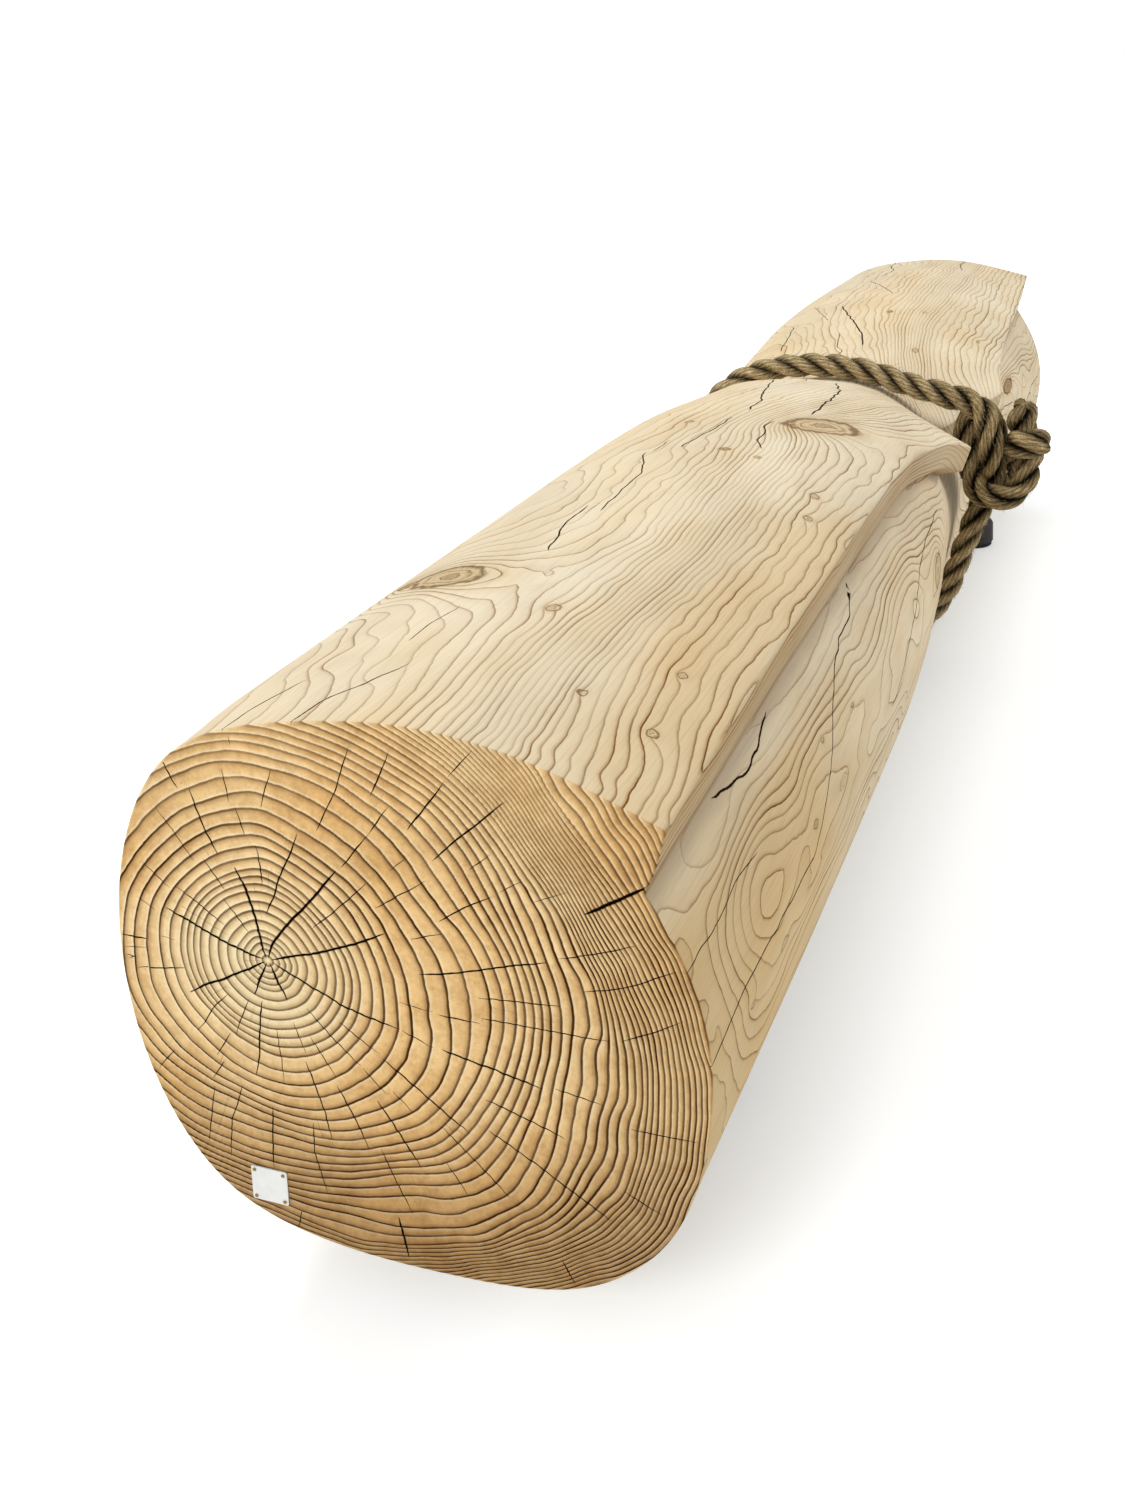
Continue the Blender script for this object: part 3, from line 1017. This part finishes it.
# ---------------------------------------------------------------- rope
# In the knot the rope is fuller than the CAD's, and eight points of LOWER_ROUTE lie 2 to 10 mm off the CAD's.
ROPE_DIAMETER = 33
KNOT_FULLNESS = 36
TAIL_SPLAY = 0.16
CROWN_RUN = ((99, 388, 0), (196, 369, 6))
FRONT_RUN = ((200, 150, 0), (217, 210, -14))
WRAP_ROUTE = (
    (99, 388, 0), (42, 404, 0), (-24, 408.5, 0), (-89, 401, 0), (-153, 376, 0), (-196, 324, 0), (-215, 260, 0),
    (-218, 196, 0), (-210, 134, 0), (-189, 79, 0), (-151, 35, 0), (-93, 8.5, 0), (-28, 0, 0), (40, 0, 0),
    (106, 9, 0), (156, 40, 0), (187, 92, 0), (200, 150, 0),
)
UPPER_ROUTE = (
    (196, 369, 6), (214, 358, 14), (223, 335, 22), (230, 305, 24), (233, 283, 12), (236, 256, -9), (244, 238, -17),
    (262, 235, -27), (271, 252, -35), (262, 273, -38), (246, 291, -23), (252, 311, 2), (270, 320, 23), (290, 322, 27),
    (304, 321, 22),
)
LOWER_ROUTE = (
    (217, 210, -14), (222, 238, -48), (221, 283, -49), (228, 316, -34), (225, 337, -28), (209, 352, -27),
    (192, 350, -23), (186, 332, -14), (195, 297, -2), (204, 268, 8), (214, 249, 20), (235, 241, 31), (259, 244, 34),
    (277, 259, 27), (281, 277, 17), (283, 294, -5), (274, 312, -26), (262, 340, -14), (265, 370, 0),
)


def waist_point(out, up, near):
    return place(np.array(WAIST_X - near), np.array(out), np.array(up))


def read_spline(name, route):
    """Points along the NURBS curve whose control points are the route's."""
    curve = bpy.data.curves.new(name, "CURVE")
    curve.dimensions = "3D"
    curve.resolution_u = 16
    spline = curve.splines.new("NURBS")
    spline.points.add(len(route) - 1)
    for point, stop in zip(spline.points, route):
        point.co = (*waist_point(*stop), 1)
    spline.order_u = 3
    spline.use_endpoint_u = True
    holder = linked(name, curve)
    mesh = bpy.data.meshes.new_from_object(holder)
    points = np.empty(len(mesh.vertices) * 3)
    mesh.vertices.foreach_get("co", points)
    bpy.data.objects.remove(holder)
    bpy.data.meshes.remove(mesh)
    return points.reshape(-1, 3)


def even_points(points, spacing):
    keep = np.concatenate([[True], np.linalg.norm(np.diff(points, axis=0), axis=1) > 1e-6])
    points = points[keep]
    reach = reach_of(points)
    stops = np.linspace(0, reach[-1], int(reach[-1] / spacing) + 1)
    even = read_off(points, reach, stops)
    for _ in range(3):
        even[1:-1] = 0.5 * even[1:-1] + 0.25 * (even[:-2] + even[2:])
    return even, stops


def carried_frame(points):
    """Tangents and two cross directions that don't twist along the line."""
    tangent = np.gradient(points, axis=0)
    tangent /= np.linalg.norm(tangent, axis=1)[:, None]
    side = np.cross(tangent[0], (0.3, 0.2, 0.9))
    side /= np.linalg.norm(side)
    sides = [side]
    for k in range(1, len(points)):
        side = sides[-1] - tangent[k] * np.dot(sides[-1], tangent[k])
        sides.append(side / np.linalg.norm(side))
    sides = np.array(sides)
    return tangent, sides, np.cross(tangent, sides)


STRAND_SHARE = 1 / 2.12
LAY_LENGTH = 3.35
STRAND_SIDES = 36
YARNS = 8
ROPE_STEP = 0.0026
JOIN_BLEND = 0.02
SPLAY_RUN = (0.02, 0.07)
TAIL_ROUND = 0.014


def round_line(angle, side, other):
    """Directions at some angles round a line, from its two cross directions."""
    return np.cos(angle)[..., None] * side + np.sin(angle)[..., None] * other


def rope_strands(points, stops, diameters, dome):
    """Vertices, faces and attributes of three strands laid right-handed about the line."""
    tangent, side, other = carried_frame(points)
    turn = np.concatenate([[0], np.cumsum(np.diff(stops) / (LAY_LENGTH * diameters[:-1]))]) * 2 * math.pi
    vertices = []
    faces = []
    made = {"fibre_u": [], "fibre_c": [], "fibre_s": [], "strand": [], "outer": [], "yarn": []}
    rows = len(stops)
    base = 0
    for strand in range(3):
        angle = turn + strand * 2 * math.pi / 3
        lump = lattice_noise(np.stack([stops / 0.021, np.full(rows, strand * 7.3), np.zeros(rows)], axis=-1))
        radius = diameters * STRAND_SHARE / 2 * (1 + 0.04 * lump)
        throw = (diameters / 2 - radius) * 1.02 * dome
        radius = radius * (0.25 + 0.75 * dome)
        centre = points + throw[:, None] * round_line(angle, side, other)
        _, s_side, s_other = carried_frame(centre)
        around = np.linspace(0, 2 * math.pi, STRAND_SIDES, endpoint=False)
        yarn_turn = -1.15 * turn
        rough = lattice_noise(np.stack(np.broadcast_arrays(
            stops[:, None] / 0.0045,
            2.4 * np.cos(around)[None],
            2.4 * np.sin(around)[None] + strand * 5.0,
        ), axis=-1))
        yarn = np.cos(YARNS * (around[None] - yarn_turn[:, None]))
        lobes = 1 + 0.075 * yarn + 0.04 * rough
        ring = round_line(around[None], s_side[:, None], s_other[:, None])
        tube = centre[:, None] + (radius[:, None] * lobes)[..., None] * ring
        outer = np.linalg.norm(tube - points[:, None], axis=-1) / (diameters * (0.125 + 0.375 * dome))[:, None]
        outer = 1 - (1 - outer) * dome[:, None]
        fibre_turn = around[None] - yarn_turn[:, None]
        ends = centre[[0, -1]] + tangent[[0, -1]] * [[-0.002], [0.002]]
        vertices += [tube.reshape(-1, 3), ends]
        faces.append(grid_faces(rows, STRAND_SIDES) + base)
        first = base + np.arange(STRAND_SIDES)
        end_row = first + (rows - 1) * STRAND_SIDES
        caps = base + rows * STRAND_SIDES
        faces += [fan_faces(first, caps, flip=True), fan_faces(end_row, caps + 1)]
        for key, values in (
            ("fibre_u", np.broadcast_to(stops[:, None], outer.shape)),
            ("fibre_c", np.cos(fibre_turn)),
            ("fibre_s", np.sin(fibre_turn)),
            ("strand", np.full(outer.shape, strand / 3)),
            ("outer", outer),
            ("yarn", 0.5 + 0.5 * yarn),
        ):
            made[key] += [values.ravel(), values[[0, -1], 0]]
        base = caps + 2
    return np.vstack(vertices), faces, {key: np.concatenate(values) for key, values in made.items()}


def hemp_material():
    nodes = Nodes("rope_hemp")
    combine = nodes.add("ShaderNodeCombineXYZ")
    nodes.put(combine.inputs[0], nodes.times(nodes.attribute("fibre_u"), 60.0))
    nodes.put(combine.inputs[1], nodes.times(nodes.attribute("fibre_c"), 5.0))
    nodes.put(combine.inputs[2], nodes.times_plus(nodes.attribute("fibre_s"), 5.0, nodes.attribute("strand")))
    fibre = nodes.noise(combine.outputs[0], scale=2.4, detail=5, roughness=0.72)
    fluff = nodes.grain(420, detail=4, roughness=0.7)
    patch = nodes.grain(16, detail=3)
    stops = (
        (0.32, srgb(50, 36, 16)), (0.43, srgb(130, 108, 70)), (0.54, srgb(204, 182, 138)), (0.66, srgb(255, 242, 206)),
    )
    colour = nodes.ramp(fibre, stops)
    colour = nodes.mix(nodes.times(patch, 0.32), colour, srgb(150, 126, 84))
    colour = nodes.mix(0.8, colour, nodes.ramp(fluff, ((0.3, 0.60), (0.65, 1.16))), blend="MULTIPLY")
    crevice = nodes.ramp(nodes.attribute("outer"), ((0.30, 0.01), (0.68, 0.06), (0.87, 0.62), (1.0, 1.34)))
    # The knot is darker and dirtier than the wrap, whose grooves stay shallower.
    knotted = nodes.attribute("knotted")
    colour = nodes.mix(nodes.times_plus(knotted, 0.14, 0.86), colour, crevice, blend="MULTIPLY")
    colour = nodes.mix(knotted, colour, (0.74, 0.71, 0.66), blend="MULTIPLY")
    between = nodes.ramp(nodes.attribute("yarn"), ((0.0, 0.34), (0.45, 0.94), (1.0, 1.12)))
    colour = nodes.mix(0.8, colour, between, blend="MULTIPLY")
    relief = nodes.times_plus(fluff, 0.5, fibre)
    return nodes.finish(colour, 0.85, nodes.bump(relief, 0.0016), specular=0.05)


HAIR_SIDES = 3
HAIR_RADIUS = 0.0003
HAIRS = 3000
TUFT = 60


def hair_mesh(roots, starts, drifts, lengths):
    """Thin tapering hairs that leave their roots one way and drift another."""
    stages = np.array((0.0, 0.35, 0.7, 1.0))
    path = roots[:, None] + lengths[:, None, None] * (
        stages[None, :, None] * starts[:, None] + stages[None, :, None] ** 2 * drifts[:, None]
    )
    side = np.cross(starts, (0.31, 0.17, 0.93))
    side /= np.linalg.norm(side, axis=1)[:, None]
    other = np.cross(starts, side)
    around = np.linspace(0, 2 * math.pi, HAIR_SIDES, endpoint=False)
    ring = round_line(around[None], side[:, None], other[:, None])
    thick = HAIR_RADIUS * (1 - 0.75 * stages)
    tubes = path[:, :, None] + thick[None, :, None, None] * ring[:, None]
    one = grid_faces(len(stages), HAIR_SIDES)
    per_hair = len(stages) * HAIR_SIDES
    shifts = np.arange(len(roots)) * per_hair
    quads = (one[None] + shifts[:, None, None]).reshape(-1, 4)
    foot = np.array([[2, 1, 0]]) + shifts[:, None]
    tip = np.array([[0, 1, 2]]) + shifts[:, None] + per_hair - HAIR_SIDES
    return tubes.reshape(-1, 3), [quads, foot, tip]


def add_fuzz(points, stops, diameters):
    """Loose fibres along the rope and a few more at its two tails, which are rounded in the photo."""
    draw = np.random.default_rng(77)
    tangent, side, other = carried_frame(points)
    at = draw.integers(2, len(points) - 2, HAIRS)
    turn = draw.uniform(0, 2 * math.pi, HAIRS)
    outward = round_line(turn, side[at], other[at])
    roots = points[at] + outward * (diameters[at] * 0.44)[:, None]
    lean = tangent[at] * draw.choice([-1.0, 1.0], HAIRS)[:, None]
    starts = outward * draw.uniform(0.3, 0.9, HAIRS)[:, None] + lean * draw.uniform(0.4, 1.0, HAIRS)[:, None]
    drifts = draw.normal(0, 0.35, (HAIRS, 3)) + lean * 0.2
    lengths = draw.uniform(0.003, 0.010, HAIRS)
    parts = [(roots, starts, drifts, lengths)]
    for end, way in ((0, -1.0), (len(points) - 1, 1.0)):
        turn = draw.uniform(0, 2 * math.pi, TUFT)
        spread = np.sqrt(draw.uniform(0, 1, TUFT)) * diameters[end] * 0.3
        outward = round_line(turn, side[end], other[end])
        roots = points[end] + outward * spread[:, None] - way * tangent[end] * 0.002
        starts = way * tangent[end] + outward * (spread / diameters[end])[:, None] * 0.9
        drifts = draw.normal(0, 0.28, (TUFT, 3)) + outward * 0.25
        parts.append((roots, starts, drifts, draw.uniform(0.002, 0.005, TUFT)))
    joined = [np.concatenate(group) for group in zip(*parts)]
    vertices, faces = hair_mesh(*joined)
    nodes = Nodes("rope_fibres")
    tint = nodes.grain(300, detail=3)
    colour = nodes.mix(tint, srgb(142, 118, 78), srgb(206, 186, 144))
    material = nodes.finish(colour, 0.8, nodes.bump(tint, 0.0001), specular=0.1)
    return mesh_object("rope_fibres", vertices, faces, material)


def add_rope():
    joins = [tuple((a + b) / 2 for a, b in zip(*run)) for run in (CROWN_RUN, FRONT_RUN)]
    line = read_spline("rope_route", (*UPPER_ROUTE[::-1], joins[0], *WRAP_ROUTE, joins[1], *LOWER_ROUTE))
    points, stops = even_points(line, ROPE_STEP)
    start, end = (stops[np.argmin(np.linalg.norm(points - waist_point(*join), axis=1))] for join in joins)
    in_wrap = smoothstep(stops, start - JOIN_BLEND, start + JOIN_BLEND)
    in_wrap *= fade(stops, end - JOIN_BLEND, end + JOIN_BLEND)
    diameters = (KNOT_FULLNESS + (ROPE_DIAMETER - KNOT_FULLNESS) * in_wrap) * MM
    from_tail = np.minimum(stops, stops[-1] - stops)
    diameters *= 1 + TAIL_SPLAY * fade(from_tail, *SPLAY_RUN)
    to_end = np.clip(from_tail / TAIL_ROUND, 0, 1)
    vertices, faces, attributes = rope_strands(points, stops, diameters, np.sqrt(to_end * (2 - to_end)))
    knotted = 1 - in_wrap
    attributes["knotted"] = np.tile(np.append(np.repeat(knotted, STRAND_SIDES), knotted[[0, -1]]), 3)
    rope = mesh_object("rope", vertices, faces, hemp_material(), attributes)
    for piece in (rope, add_fuzz(points, stops, diameters)):
        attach(piece, "root")
    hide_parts("rope_wrap", "knot_upper_strand", "knot_lower_strand")


add_rope()


# ---------------------------------------------------------------- carried-over CAD nodes
def coat_material():
    nodes = Nodes("foot_coat")
    turned = nodes.grain((6, 6, 1400), detail=3)
    speck = nodes.grain(900, detail=2)
    colour = nodes.mix(turned, srgb(26, 26, 25), srgb(56, 55, 53))
    return nodes.finish(colour, nodes.times_plus(speck, 0.2, 0.38), nodes.bump(turned, 0.0004))


def rubber_material():
    nodes = Nodes("glide_rubber")
    grain = nodes.grain(500, detail=3)
    colour = nodes.mix(grain, srgb(18, 18, 19), srgb(38, 38, 40))
    return nodes.finish(colour, 0.75, nodes.bump(grain, 0.0002))


def enamel_material():
    nodes = Nodes("plate_white")
    peel = nodes.grain(240, detail=2)
    soil = nodes.grain(60, detail=4)
    colour = nodes.mix(nodes.ramp(soil, ((0.45, 0.0), (0.8, 0.5))), srgb(236, 238, 236), srgb(206, 204, 194))
    return nodes.finish(colour, 0.22, nodes.bump(peel, 0.00015), specular=0.5)


def metal_material(name, dark, pale):
    nodes = Nodes(name)
    brushed = nodes.grain(700, detail=3)
    rough = nodes.times_plus(brushed, 0.25, 0.25)
    return nodes.finish(nodes.mix(brushed, dark, pale), rough, nodes.bump(brushed, 0.0001), metallic=1.0)


NODE_MATERIALS = {
    "foot_": coat_material(),
    "glide_": rubber_material(),
    "end_plate": enamel_material(),
    "plate_pins": metal_material("pin_brass", srgb(120, 96, 52), srgb(196, 170, 110)),
    "foot_bolts": metal_material("bolt_steel", srgb(120, 122, 126), srgb(190, 192, 196)),
    "threaded_inserts": metal_material("insert_brass", srgb(150, 120, 60), srgb(206, 178, 110)),
}
for node_name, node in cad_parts.items():
    for start in sorted(NODE_MATERIALS, key=len, reverse=True):
        if node_name.startswith(start):
            for slot in node.material_slots:
                slot.material = NODE_MATERIALS[start]
            break


# ---------------------------------------------------------------- stage
FLOOR_HALF = 14
FLOOR_COLOUR = (0.83, 0.845, 0.86, 1)
UNDER_TRUNK = (1.15, 0.08)
GLOW_COLOUR = (0.95, 0.975, 1.0, 1)
GLOW_STOPS = ((0.0, 0.22), (0.02, 0.34), (0.045, 0.52), (0.15, 0.64), (0.5, 0.85), (1.0, 0.95))
WORLD_STRENGTH = 0.36


def show_camera(tree, light, camera, surface):
    """One shader for the light and the reflections, and another that the camera alone sees."""
    mixer = tree.nodes.new("ShaderNodeMixShader")
    path = tree.nodes.new("ShaderNodeLightPath")
    for socket, source in zip(mixer.inputs, (path.outputs["Is Camera Ray"], light, camera)):
        tree.links.new(source, socket)
    tree.links.new(mixer.outputs[0], surface)


def add_stage():
    """A white floor; its own glow is seen by the camera alone and grows with distance, so no horizon shows."""
    nodes = Nodes("studio_floor")
    nodes.shader.inputs["Base Color"].default_value = FLOOR_COLOUR
    nodes.shader.inputs["Roughness"].default_value = 0.9
    nodes.shader.inputs["Specular IOR Level"].default_value = 0.1
    geometry = nodes.add("ShaderNodeNewGeometry")
    split = nodes.add("ShaderNodeSeparateXYZ")
    nodes.put(split.inputs[0], geometry.outputs["Position"])
    squares = []
    for socket, half in zip(split.outputs, UNDER_TRUNK):
        past = nodes.math("MAXIMUM", nodes.minus(nodes.math("ABSOLUTE", socket), half), 0.0)
        squares.append(nodes.times(past, past))
    squared = nodes.math("ADD", *squares)
    away = nodes.times(nodes.math("SQRT", squared), 0.25, clamp=True)
    glow = nodes.add("ShaderNodeEmission")
    glow.inputs["Color"].default_value = GLOW_COLOUR
    nodes.put(glow.inputs["Strength"], nodes.ramp(away, GLOW_STOPS))
    add = nodes.add("ShaderNodeAddShader")
    nodes.put(add.inputs[0], nodes.shader.outputs[0])
    nodes.put(add.inputs[1], glow.outputs[0])
    show_camera(nodes.tree, nodes.shader.outputs[0], add.outputs[0], nodes.output.inputs["Surface"])
    corners = [(x * FLOOR_HALF, y * FLOOR_HALF, 0) for x, y in ((-1, -1), (1, -1), (1, 1), (-1, 1))]
    mesh_object("floor", corners, [[(0, 1, 2, 3)]], nodes.material, smooth=False)


def add_world():
    world = bpy.data.worlds.new("studio")
    bpy.context.scene.world = world
    world.use_nodes = True
    tree = world.node_tree
    background = tree.nodes["Background"]
    seen = tree.nodes.new("ShaderNodeBackground")
    background.inputs["Color"].default_value = (1, 1, 1, 1)
    background.inputs["Strength"].default_value = WORLD_STRENGTH
    seen.inputs["Color"].default_value = (1, 1, 1, 1)
    seen.inputs["Strength"].default_value = 1.0
    show_camera(tree, background.outputs[0], seen.outputs[0], tree.nodes["World Output"].inputs["Surface"])


add_stage()
add_world()
for light in LIGHTS:
    add_area_light(*light)
bpy.context.scene.view_settings.view_transform = "Standard"
